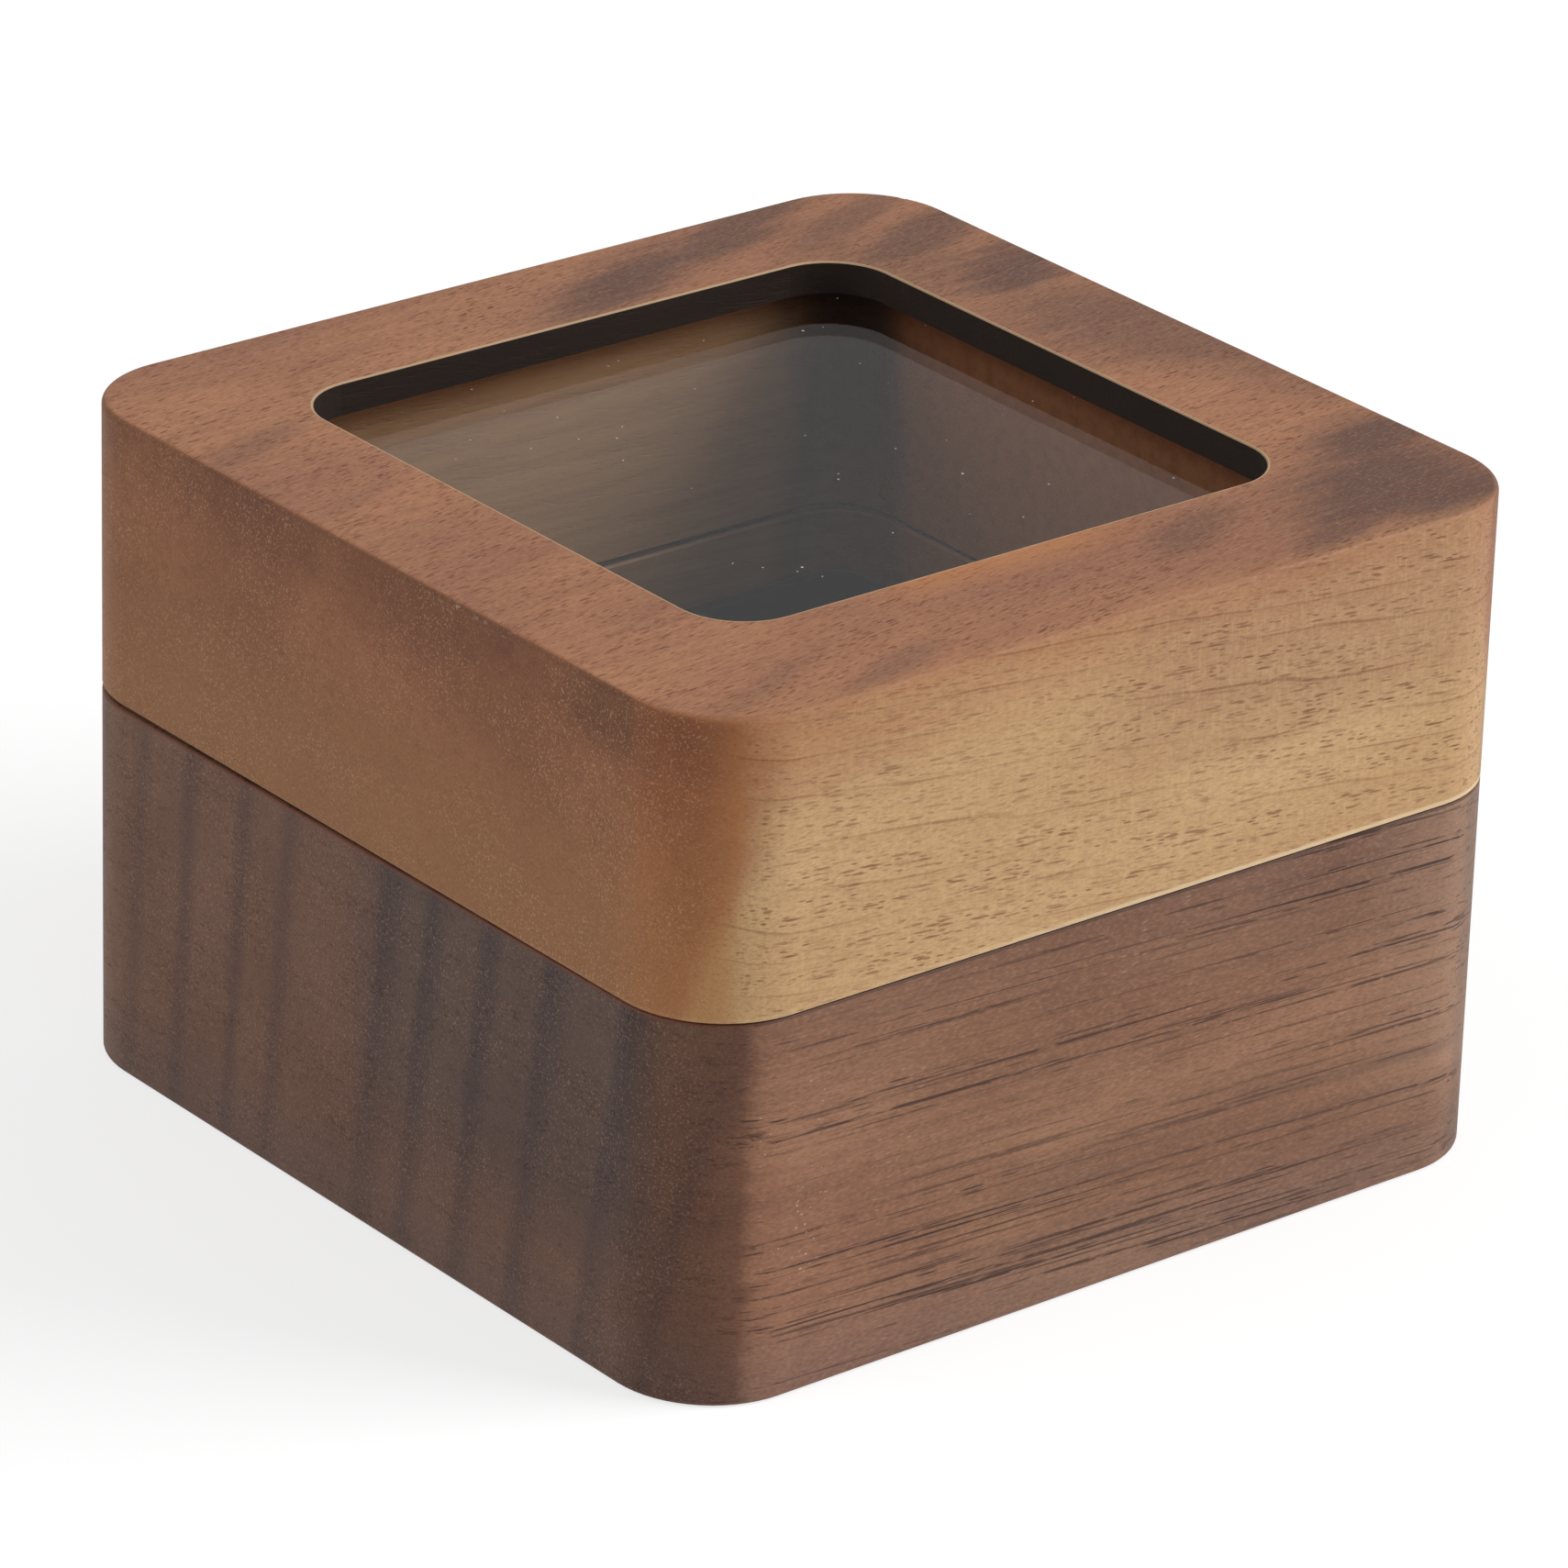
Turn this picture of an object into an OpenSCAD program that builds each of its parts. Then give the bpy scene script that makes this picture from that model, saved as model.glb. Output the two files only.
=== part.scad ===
// Ring display box: a solid walnut base and a hinged walnut lid with a glazed window.
// Origin: middle of the base's underside. +Z is up, the front is -Y and the hinges are at +Y.

/* [Case] */
// Width of the box, left to right
case_w = 75; // [66:1:90]
// Depth of the box, front to back
case_d = 75; // [66:1:90]
// Height of the base block
base_h = 29; // [25:0.5:36]
// Height of the lid block, measured at the front
lid_h = 22.3; // [18:0.1:28]
// Radius of the upright outer corners
corner_r = 8; // [6:0.5:9]
// Thickness of the side walls, in the base and in the lid
wall_t = 9; // [8.5:0.25:11]
// Thickness of the base's floor
floor_t = 6; // [4:0.5:8]
// Radius of the upright corners of the hollows
cavity_r = 5; // [3:0.5:6]
// Chamfer round the rims of the hollows
rim_chamfer = 0.15; // [0.1:0.05:0.5]
// Radius that eases the outer edges of the top and the underside
edge_ease = 0.5; // [0.3:0.1:1]
// Radius that eases the base's upper outer edge, along the seam
seam_ease = 0.25; // [0.1:0.05:0.4]

/* [Seam] */
// Gap between the lid and the base at the front
seam_front = 0.1; // [0.05:0.05:0.3]
// Gap between the lid and the base at the hinge axis
seam_back = 0.5; // [0.4:0.1:0.8]

/* [Window] */
// How far the lid's top reaches in over the pane, on each side
ledge_w = 3; // [2:0.25:5]
// How far the window lies behind the middle of the lid
window_shift = 0.9; // [0:0.1:1.2]
// Radius of the window's corners
window_r = 5; // [3:0.5:8]
// Thickness of the lid's top around the window
top_t = 2.5; // [2:0.25:4]
// Bevel round the window's upper edge
window_bevel = 0.1; // [0.05:0.05:0.3]
// Thickness of the pane
pane_t = 1.5; // [1:0.25:3]
// Gap between the pane's edge and the lid's hollow
pane_fit = 0.25; // [0.1:0.05:0.4]

/* [Insert] */
// Thickness of the card under the pads
board_t = 1.5; // [1:0.25:2.5]
// Gap between the card and the base's walls
board_fit = 0.25; // [0.1:0.05:0.5]
// How far the pads' crowns lie below the base's rim
pad_drop = 2.4; // [1.5:0.1:4]
// Gap round each pad, and between neighbouring pads
pad_fit = 0.3; // [0.2:0.05:0.6]
// Radius of a pad's rolled long edges
pad_roll = 4; // [2.5:0.25:5]
// Radius of a pad's ends, where the velvet is folded under
pad_end_roll = 1.6; // [1:0.1:2.5]
// Rise of a pad's crown above its rolled edges
pad_crown = 0.9; // [0.4:0.1:1.5]
// How far a pad's sides are drawn in at its foot
pad_draw = 0.35; // [0.1:0.05:0.6]

/* [Hinges] */
// Length of a hinge along its pin
hinge_len = 14; // [12:0.5:16]
// Distance from the side of the box to a hinge
hinge_inset = 10.5; // [9.5:0.5:13]
// Distance of the hinge pins from the back of the box
axis_in = 2.6; // [2.3:0.1:2.8]
// Thickness of a hinge leaf
leaf_t = 0.8; // [0.6:0.05:1]
// Radius of a leaf's corners
leaf_r = 0.8; // [0.4:0.1:1.2]
// Wood left between a leaf and the hollow
leaf_margin = 1; // [0.8:0.1:1.2]
// Diameter of the knuckles
knuckle_d = 3; // [2.8:0.1:3.2]
// Gap between neighbouring knuckles
knuckle_gap = 0.15; // [0.1:0.05:0.25]
// Diameter of a hinge pin
pin_d = 1.4; // [1.2:0.1:1.6]
// Clearance of the pin in the lid's knuckle, on the radius
pin_run = 0.03; // [0.02:0.01:0.06]
// How far the bevels along the back edges reach in past the hinge axis
bevel_past = 0.4; // [0.35:0.05:0.8]
// Clearance of a hinge in its recess
recess_fit = 0.2; // [0.1:0.05:0.3]

/* [Screws] */
// Diameter of a screw's shank
screw_d = 1.5; // [1.2:0.1:1.7]
// Diameter of a screw's head
screw_head_d = 2.6; // [2.3:0.1:3]
// Length of a screw
screw_len = 5; // [4:0.5:7]
// Distance between the two screws of a leaf
screw_pitch = 7.4; // [6.5:0.1:8]

/* [Magnets] */
// Diameter of a magnet
magnet_d = 6; // [4:0.5:6.5]
// Thickness of a magnet
magnet_t = 2; // [1.5:0.25:3]
// Distance from the side of the box to a magnet's centre
magnet_inset = 13.5; // [11:0.5:18]
// Gap round a magnet in its pocket
magnet_fit = 0.05; // [0.03:0.01:0.1]
// Chamfer round a magnet's faces
magnet_chamfer = 0.2; // [0.1:0.05:0.3]

/* [Hidden] */

round_fn = 96;
ease_fn = 32;
small_fn = 48;
over = 1; // how far a cutter runs past the wood
left = -1;
right = 1;

walnut = "saddlebrown";
dark_walnut = "#4a3226";
brass = "#c9a44c";
nickel = "#b9b9b6";
velvet = "#17181a";

// Hollows of the two blocks
cavity_w = case_w - 2 * wall_t;
cavity_d = case_d - 2 * wall_t;
window_w = cavity_w - 2 * ledge_w;
window_d = cavity_d - 2 * ledge_w;

// Heights, from the table up
lid_z = base_h + seam_front;
lid_top = lid_z + lid_h;
pane_top = lid_top - top_t;
pane_z = pane_top - pane_t;

// Hinge axis, and the slope of the lid's underside that eases it at the hinges
axis_y = case_d / 2 - axis_in;
axis_z = base_h + seam_back / 2;
back_bevel = axis_in + bevel_past;
under_slope = (seam_back - seam_front) / (axis_y + case_d / 2);
function under_z(y) = lid_z + under_slope * (y + case_d / 2);

// Hinge parts
hinge_x = case_w / 2 - hinge_inset - hinge_len / 2;
knuckle_r = knuckle_d / 2;
knuckle_len = (hinge_len - 2 * knuckle_gap) / 3;
leaf_y = cavity_d / 2 + leaf_margin;
screw_y = (leaf_y + axis_y - knuckle_r) / 2;
head_h = (screw_head_d - screw_d) / 2;
slot_w = 0.35;
slot_h = 0.3;

// Magnets sit in the middle of the front rims
magnet_x = case_w / 2 - magnet_inset;
magnet_y = wall_t / 2 - case_d / 2;
lid_magnet_z = under_z(magnet_y + magnet_d / 2);

// Pads: three bars side by side, standing on the card
pad_count = 3;
pad_z = floor_t + board_t;
pad_h = base_h - pad_drop - pad_z;
pad_len = cavity_w - 2 * pad_fit;
pad_w = (cavity_d - (pad_count + 1) * pad_fit) / pad_count;
pad_step = pad_w + pad_fit;
pad_inner_r = 1; // upright corners of a pad that face another pad
pad_outer_r = cavity_r; // upright corners of a pad that face the base's corners

// ---- Shapes that repeat ----

// Half of an upright section that is eased at its top and foot
module half_section(reach, height, top, foot) {
  square([reach - max(top, foot), height]);
  translate([0, foot]) square([reach, height - foot - top]);
  translate([reach - top, height - top]) circle(top, $fn = ease_fn);
  translate([reach - foot, foot]) circle(foot, $fn = ease_fn);
}

// Block with rounded upright corners and eased edges: two crossed slabs and a puck in each corner
module eased_block(height, top, foot) {
  eased_slab(case_d - 2 * corner_r, case_w / 2, height, top, foot);
  rotate(90) eased_slab(case_w - 2 * corner_r, case_d / 2, height, top, foot);
  for (x = [-1, 1], y = [-1, 1])
    translate([x * (case_w / 2 - corner_r), y * (case_d / 2 - corner_r), 0])
      rotate_extrude($fn = round_fn) half_section(corner_r, height, top, foot);
}

module eased_slab(length, reach, height, top, foot)
  rotate([90, 0, 0]) linear_extrude(length, center = true) {
    half_section(reach, height, top, foot);
    mirror([1, 0]) half_section(reach, height, top, foot);
  }

module rounded_square(w, d, r) {
  square([w - 2 * r, d], center = true);
  square([w, d - 2 * r], center = true);
  for (x = [-1, 1], y = [-1, 1])
    translate([x * (w / 2 - r), y * (d / 2 - r)]) circle(r, $fn = round_fn);
}

// Cutter that bevels the edge of a rounded square hole whose rim is at z = 0.
// It starts inside the hole and flares upwards.
module flared_cut(w, d, r, flare) {
  start = -flare - over;
  for (turn = [0, 90]) {
    reach = (turn == 0 ? w : d) / 2;
    run = (turn == 0 ? d : w) - 2 * r;
    rotate([90, 0, turn]) linear_extrude(run, center = true)
      polygon([
        [over - reach, start], [reach - over, start],
        [reach + flare + over, over], [-reach - flare - over, over]
      ]);
  }
  for (x = [-1, 1], y = [-1, 1])
    translate([x * (w / 2 - r), y * (d / 2 - r), start])
      cylinder(h = over - start, r1 = r - over, r2 = r + flare + over, $fn = round_fn);
}

// Bar along X, centred on the origin
module bar(length, r) rotate([0, 90, 0])
  cylinder(h = length, r = r, center = true, $fn = small_fn);

module at_axis(side) translate([side * hinge_x, axis_y, axis_z]) children();

module at_screws(side, z)
  for (x = [-1, 1]) translate([side * hinge_x + x * screw_pitch / 2, screw_y, z]) children();

// Countersunk screw, head up at z = 0
module screw_body() {
  translate([0, 0, -screw_len]) cylinder(h = screw_len - head_h, d = screw_d, $fn = small_fn);
  translate([0, 0, -head_h]) cylinder(h = head_h, d1 = screw_d, d2 = screw_head_d, $fn = small_fn);
}

module screw() difference() {
  screw_body();
  cube([screw_head_d + over, slot_w, 2 * slot_h], center = true);
}

// ---- Wood ----

// Wedge that bevels the back edge of a block; up is 1 above the seam and -1 below it
module back_bevel_cut(z, up)
  translate([0, case_d / 2 - back_bevel, z]) mirror([0, 0, up > 0 ? 0 : 1])
    rotate([90, 0, 90]) linear_extrude(case_w + 2 * over, center = true)
      polygon([
        [0, 0], [-over, -over], [back_bevel + over, -over], [back_bevel + over, back_bevel + over]
      ]);

// Recess for a leaf and the knuckles; up is 1 in the lid and -1 in the base
module hinge_recess(side, z, up) {
  length = hinge_len + 2 * recess_fit;
  front = leaf_y - recess_fit;
  translate([side * hinge_x - length / 2, front, up > 0 ? z - over : z - leaf_t])
    cube([length, axis_y - front, leaf_t + over]);
  at_axis(side) bar(length, knuckle_r + recess_fit);
}

module base_box() color(dark_walnut) difference() {
  eased_block(base_h, seam_ease, edge_ease);
  translate([0, 0, floor_t]) linear_extrude(base_h) rounded_square(cavity_w, cavity_d, cavity_r);
  translate([0, 0, base_h]) flared_cut(cavity_w, cavity_d, cavity_r, rim_chamfer);
  back_bevel_cut(base_h, -1);
  for (side = [left, right]) {
    hinge_recess(side, base_h, -1);
    at_screws(side, base_h) screw_body();
    translate([side * magnet_x, magnet_y, base_h - magnet_t])
      cylinder(h = magnet_t + over, r = magnet_d / 2 + magnet_fit, $fn = round_fn);
  }
}

// Everything below the lid's underside, which slopes up a little towards the hinges,
// with the chamfer of its hollow's rim
module under_cut()
  translate([0, -case_d / 2, lid_z]) rotate([atan(under_slope), 0, 0])
    translate([0, case_d / 2, 0]) {
      translate([0, 0, -base_h / 2])
        cube([case_w + 2 * over, case_d + 4 * over, base_h], center = true);
      mirror([0, 0, 1]) flared_cut(cavity_w, cavity_d, cavity_r, rim_chamfer);
    }

module lid_frame() color(walnut) difference() {
  translate([0, 0, base_h - over]) eased_block(lid_top - base_h + over, edge_ease, edge_ease);
  under_cut();
  translate([0, 0, base_h - over]) linear_extrude(pane_top - base_h + over)
    rounded_square(cavity_w, cavity_d, cavity_r);
  translate([0, window_shift, pane_z]) linear_extrude(lid_h)
    rounded_square(window_w, window_d, window_r);
  translate([0, window_shift, lid_top]) flared_cut(window_w, window_d, window_r, window_bevel);
  back_bevel_cut(under_z(case_d / 2 - back_bevel), 1);
  for (side = [left, right]) {
    hinge_recess(side, base_h + seam_back, 1);
    at_screws(side, base_h + seam_back) mirror([0, 0, 1]) screw_body();
    translate([side * magnet_x, magnet_y, base_h])
      cylinder(h = lid_magnet_z + magnet_t - base_h, r = magnet_d / 2 + magnet_fit, $fn = round_fn);
  }
}

// ---- Pane ----

module window_pane() color("lightblue", 0.35) translate([0, 0, pane_z]) linear_extrude(pane_t)
  rounded_square(cavity_w - 2 * pane_fit, cavity_d - 2 * pane_fit, cavity_r - pane_fit);

// ---- Insert ----

module insert_board() color("dimgray") translate([0, 0, floor_t]) linear_extrude(board_t)
  rounded_square(cavity_w - 2 * board_fit, cavity_d - 2 * board_fit, cavity_r - board_fit);

corner_steps = 5;
edge_steps = 6;
side_steps = 2;
roll_steps = 5;
crown_steps = 4;

// Upright edges of a pad in turn: right front, right back, left back, left front
function pad_outline(a, b, front_r, back_r) = [
  for (corner = [0:3])
    let (
      x = corner < 2 ? 1 : -1,
      y = corner == 1 || corner == 2 ? 1 : -1,
      r = y > 0 ? back_r : front_r,
      start = -90 + 90 * corner
    )
    each concat(
      [for (i = [0:corner_steps]) let (t = start + 90 * i / corner_steps)
        [x * (a - r) + r * cos(t), y * (b - r) + r * sin(t)]],
      corner % 2 == 1
        ? [for (i = [1:edge_steps - 1]) [x * (a - r) * (1 - 2 * i / edge_steps), y * b]]
        : []
    )
];

// Rings from the foot to the crown: inset along the bar, inset across it, and height
function pad_rings() = concat(
  [for (i = [0:side_steps - 1]) let (s = i / side_steps, inset = pad_draw * (1 - s) * (1 - s))
    [inset, inset, s * (pad_h - pad_crown - pad_roll)]],
  [for (i = [0:roll_steps]) let (t = 90 * i / roll_steps)
    [pad_end_roll * (1 - cos(t)), pad_roll * (1 - cos(t)), pad_h - pad_crown - pad_roll * (1 - sin(t))]],
  [for (i = [1:crown_steps]) let (s = i / (crown_steps + 1), inset = s * (pad_w / 2 - pad_roll))
    [pad_end_roll + inset, pad_roll + inset, pad_h - pad_crown * (1 - s) * (1 - s)]]
);

// One velvet bar, centred on its own middle, with the corner radii of its front and back edges
module ring_pad(front_r, back_r) {
  loops = [for (ring = pad_rings())
    let (b = pad_w / 2 - ring[1], shrink = b / (pad_w / 2))
    [for (p = pad_outline(pad_len / 2 - ring[0], b, front_r * shrink, back_r * shrink))
      [p[0], p[1], ring[2]]]];
  n = len(loops[0]);
  last = len(loops) - 1;
  foot = n * len(loops);
  crown = foot + 1;
  polyhedron(
    points = concat([for (loop = loops, p = loop) p], [[0, 0, 0], [0, 0, pad_h]]),
    faces = [for (i = [0:n - 1]) let (j = (i + 1) % n) each concat(
      [[foot, i, j], [crown, last * n + j, last * n + i]],
      [for (k = [0:last - 1])
        each [[k * n + i, (k + 1) * n + i, k * n + j], [k * n + j, (k + 1) * n + i, (k + 1) * n + j]]]
    )]
  );
}

module ring_pad_front() color(velvet) translate([0, -pad_step, pad_z])
  ring_pad(pad_outer_r, pad_inner_r);
module ring_pad_middle() color(velvet) translate([0, 0, pad_z])
  ring_pad(pad_inner_r, pad_inner_r);
module ring_pad_back() color(velvet) translate([0, pad_step, pad_z])
  ring_pad(pad_inner_r, pad_outer_r);

// ---- Hinges ----

// Leaf in the base: it carries the two outer knuckles and grips the pin
module hinge_lower_leaf(side) color(brass) difference() {
  union() {
    difference() {
      leaf_plate(side, base_h - leaf_t);
      at_axis(side) bar(knuckle_len + 2 * knuckle_gap, knuckle_r + recess_fit);
    }
    for (x = [-1, 1]) at_axis(side) translate([x * (hinge_len - knuckle_len) / 2, 0, 0])
      bar(knuckle_len, knuckle_r);
  }
  at_axis(side) bar(hinge_len + over, pin_d / 2);
  at_screws(side, base_h) screw_body();
}

// Leaf in the lid: it carries the middle knuckle, which turns on the pin
module hinge_upper_leaf(side) color(brass) difference() {
  union() {
    difference() {
      leaf_plate(side, base_h + seam_back);
      for (x = [-1, 1]) at_axis(side) translate([x * (hinge_len + over) / 2, 0, 0])
        bar(2 * (knuckle_len + knuckle_gap) + over, knuckle_r + recess_fit);
    }
    at_axis(side) bar(knuckle_len, knuckle_r);
  }
  at_axis(side) bar(hinge_len + over, pin_d / 2 + pin_run);
  at_screws(side, base_h + seam_back) mirror([0, 0, 1]) screw_body();
}

// Plate that runs from its rounded corners to the hinge axis
module leaf_plate(side, z)
  translate([side * hinge_x, axis_y, z]) linear_extrude(leaf_t) intersection() {
    rounded_square(hinge_len, 2 * (axis_y - leaf_y), leaf_r);
    translate([-hinge_len / 2, leaf_y - axis_y]) square([hinge_len, axis_y - leaf_y]);
  }

module hinge_pin(side) color(nickel) at_axis(side) bar(hinge_len, pin_d / 2);

module hinge_lower_leaf_left() hinge_lower_leaf(left);
module hinge_lower_leaf_right() hinge_lower_leaf(right);
module hinge_upper_leaf_left() hinge_upper_leaf(left);
module hinge_upper_leaf_right() hinge_upper_leaf(right);
module hinge_pin_left() hinge_pin(left);
module hinge_pin_right() hinge_pin(right);

module hinge_screws_base() color(brass) for (side = [left, right]) at_screws(side, base_h) screw();
module hinge_screws_lid() color(brass)
  for (side = [left, right]) at_screws(side, base_h + seam_back) mirror([0, 0, 1]) screw();

// ---- Magnets ----

module magnet(side, z) color(nickel)
  translate([side * magnet_x, magnet_y, z]) rotate_extrude($fn = round_fn) polygon([
    [0, 0], [magnet_d / 2 - magnet_chamfer, 0],
    [magnet_d / 2, magnet_chamfer], [magnet_d / 2, magnet_t - magnet_chamfer],
    [magnet_d / 2 - magnet_chamfer, magnet_t], [0, magnet_t]
  ]);

module base_magnet_left() magnet(left, base_h - magnet_t);
module base_magnet_right() magnet(right, base_h - magnet_t);
module lid_magnet_left() magnet(left, lid_magnet_z);
module lid_magnet_right() magnet(right, lid_magnet_z);

base_box();
lid_frame();
window_pane();
insert_board();
ring_pad_front();
ring_pad_middle();
ring_pad_back();
hinge_lower_leaf_left();
hinge_lower_leaf_right();
hinge_upper_leaf_left();
hinge_upper_leaf_right();
hinge_pin_left();
hinge_pin_right();
hinge_screws_base();
hinge_screws_lid();
base_magnet_left();
base_magnet_right();
lid_magnet_left();
lid_magnet_right();
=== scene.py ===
"""Ring display box: two walnut blocks, a glazed lid on brass hinges, and velvet bars for the rings.

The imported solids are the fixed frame. This script gives each one its finish, puts padded velvet
bars in place of the plain ones, and sets up the camera and the light.
"""

import math
from functools import reduce

import bpy
from mathutils import Matrix, Vector


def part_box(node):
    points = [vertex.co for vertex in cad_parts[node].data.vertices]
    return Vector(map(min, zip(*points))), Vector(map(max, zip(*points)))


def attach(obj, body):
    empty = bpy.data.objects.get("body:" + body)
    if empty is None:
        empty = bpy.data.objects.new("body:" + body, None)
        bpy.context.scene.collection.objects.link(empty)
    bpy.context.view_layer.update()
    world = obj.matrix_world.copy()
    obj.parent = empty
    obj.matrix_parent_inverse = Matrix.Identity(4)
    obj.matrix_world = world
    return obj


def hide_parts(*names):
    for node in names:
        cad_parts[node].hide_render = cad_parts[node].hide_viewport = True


MM = 0.001

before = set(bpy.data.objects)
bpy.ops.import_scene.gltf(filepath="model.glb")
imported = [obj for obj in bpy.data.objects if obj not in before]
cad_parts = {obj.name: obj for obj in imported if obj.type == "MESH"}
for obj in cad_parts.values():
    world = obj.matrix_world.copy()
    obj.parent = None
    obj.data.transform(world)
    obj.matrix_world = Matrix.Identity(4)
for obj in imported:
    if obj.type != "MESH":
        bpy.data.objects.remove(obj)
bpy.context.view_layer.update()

# ---- Sizes, in millimetres ----


def in_mm(corner):
    return [c / MM for c in corner]


# Read from the frame, where a box is a node's lowest and highest corner
HALF, _, BASE_TOP = in_mm(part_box("base_box")[1])
lid_low, lid_high = map(in_mm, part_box("lid_frame"))
LID_FOOT, LID_TOP = lid_low[2], lid_high[2]
PANE_TOP = in_mm(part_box("window_pane")[1])[2]

# The same as in the solids, and used to place edges and cut faces in the wood's finish
CORNER_RADIUS = 8
EDGE_EASE = 0.5  # on the lid's upper edges
SEAM_EASE = 0.25  # where the two blocks meet
WINDOW_HALF = 25.5
WINDOW_SHIFT = 0.9  # the window's middle, towards the back
WINDOW_RADIUS = 5
WINDOW_BEVEL = 0.1
HOLLOW_HALF = 28.5
HOLLOW_RADIUS = 5


# ---- Shader writing ----


def srgb(red, green, blue):
    """A colour from 0 to 255, as on a screen, in the linear numbers that a shader takes."""

    def linear(c):
        return c / 255 / 12.92 if c <= 10 else ((c / 255 + 0.055) / 1.055) ** 2.4

    return linear(red), linear(green), linear(blue), 1


class Value:
    """A shader socket. Sums with it add Math nodes to its material."""

    def __init__(self, nodes, socket):
        self.nodes, self.socket = nodes, socket

    def math(self, operation, *terms):
        return self.nodes.node("ShaderNodeMath", {"operation": operation}, terms)

    def __add__(self, other):
        return self.math("ADD", self, other)

    def __sub__(self, other):
        return self.math("SUBTRACT", self, other)

    def __rsub__(self, other):
        return self.math("SUBTRACT", other, self)

    def __mul__(self, other):
        return self.math("MULTIPLY", self, other)

    def __truediv__(self, other):
        return self.math("DIVIDE", self, other)

    def __pow__(self, other):
        return self.math("POWER", self, other)

    def __abs__(self):
        return self.math("ABSOLUTE", self)

    __radd__, __rmul__ = __add__, __mul__

    def least(self, other):
        return self.math("MINIMUM", self, other)

    def most(self, other):
        return self.math("MAXIMUM", self, other)

    def rest(self):
        """What is left after the last whole number."""
        return self.math("FRACT", self)

    def rise(self, low, high, start=0, end=1):
        """Goes smoothly from start to end as the value goes from low to high."""
        return self.nodes.node(
            "ShaderNodeMapRange",
            {"interpolation_type": "SMOOTHSTEP"},
            {"Value": self, "From Min": low, "From Max": high, "To Min": start, "To Max": end},
        )


def most_of(*values):
    """The highest of several values, place by place."""
    return reduce(Value.most, values)


class Nodes:
    """The nodes of a material or of the world."""

    def __init__(self, owner):
        owner.use_nodes = True
        self.tree = owner.node_tree
        self.tree.nodes.clear()

    def node(self, kind, settings=None, inputs=(), output=0):
        """Adds a node, sets it up, gives its sockets values or links, and returns its output."""
        node = self.tree.nodes.new(kind)
        for name, setting in (settings or {}).items():
            setattr(node, name, setting)
        for key, value in inputs.items() if isinstance(inputs, dict) else enumerate(inputs):
            if isinstance(value, Value):
                self.tree.links.new(value.socket, node.inputs[key])
            else:
                node.inputs[key].default_value = value
        if isinstance(output, tuple):
            return [Value(self, node.outputs[name]) for name in output]
        return Value(self, node.outputs[output]) if len(node.outputs) else node

    def seen(self):
        """1 for rays that show a surface as a picture: straight, mirrored or through the pane."""
        kinds = ("Is Camera Ray", "Is Glossy Ray", "Is Transmission Ray")
        return most_of(*self.node("ShaderNodeLightPath", output=kinds))


class Paint(Nodes):
    """One material. x, y and z are places on the piece in millimetres."""

    def __init__(self, name):
        self.material = bpy.data.materials.new(name)
        super().__init__(self.material)
        self.place, self.normal = self.node("ShaderNodeTexCoord", output=("Object", "Normal"))
        self.x, self.y, self.z = (c / MM for c in self.split(self.place))

    def split(self, vector):
        return self.node("ShaderNodeSeparateXYZ", inputs=[vector], output=("X", "Y", "Z"))

    def grain(self, size, turn=(0, 0, 0), start=(0, 0, 0)):
        """Places counted in steps of size millimetres, in directions turned by degrees."""
        return self.node(
            "ShaderNodeMapping",
            {"vector_type": "TEXTURE"},
            {
                "Vector": self.place,
                "Location": [c * MM for c in start],
                "Rotation": [math.radians(a) for a in turn],
                "Scale": [c * MM for c in size],
            },
        )

    def noise(self, size, detail=2, roughness=0.5, **direction):
        """Clouds of about that size in millimetres, from 0 to 1 around 0.5."""
        return self.node(
            "ShaderNodeTexNoise",
            inputs={
                "Vector": self.grain(size, **direction),
                "Scale": 1,
                "Detail": detail,
                "Roughness": roughness,
            },
        )

    def cells(self, size, reach, kept=1, fray=0, space="3D", **direction):
        """Lens-shaped spots spread at random, one to a cell of that size.

        Reach times the cell's size is a spot's half length, and only a share of the spots is kept.
        Fray moves their edges in and out.
        """
        distance, chance = self.node(
            "ShaderNodeTexVoronoi",
            {"voronoi_dimensions": space},
            {"Vector": self.grain(size, **direction), "Scale": 1},
            output=("Distance", "Color"),
        )
        luck = self.node("ShaderNodeSeparateColor", inputs=[chance], output=("Red", "Green"))
        there = luck[0].rise(kept - 0.02, kept + 0.02, 1, 0) if kept < 1 else 1
        spot = (distance + fray).rise(reach * 0.45, reach, 1, 0)
        return spot * there * luck[1].rise(0, 1, 0.2, 1)

    def mix(self, share, first, second, blend="MIX"):
        settings = {"data_type": "RGBA", "blend_type": blend}
        return self.node("ShaderNodeMix", settings, {0: share, 6: first, 7: second}, 2)

    def stain(self, share, colour, dye):
        """The colour times that share of a dye."""
        return self.mix(share, colour, dye, "MULTIPLY")

    def bump(self, height, distance, strength=1):
        """The normal over a height from 0 to 1, which stands for distance millimetres."""
        sockets = {"Strength": strength, "Distance": distance * MM, "Height": height}
        return self.node("ShaderNodeBump", inputs=sockets)

    def surface(self, **sockets):
        """A Principled shader. Socket names are written with underscores."""
        sockets = {name.replace("_", " "): value for name, value in sockets.items()}
        return self.node("ShaderNodeBsdfPrincipled", inputs=sockets)

    def finish(self, shader):
        self.node("ShaderNodeOutputMaterial", inputs={"Surface": shader})
        return self.material


def outline(paint, half, radius, shift=0):
    """How far a place lies outside a rounded square, in millimetres, seen from above."""
    side = (abs(paint.x) - (half - radius)).most(0)
    depth = (abs(paint.y - shift) - (half - radius)).most(0)
    return (side * side + depth * depth) ** 0.5 - radius


# ---- Walnut ----

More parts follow.
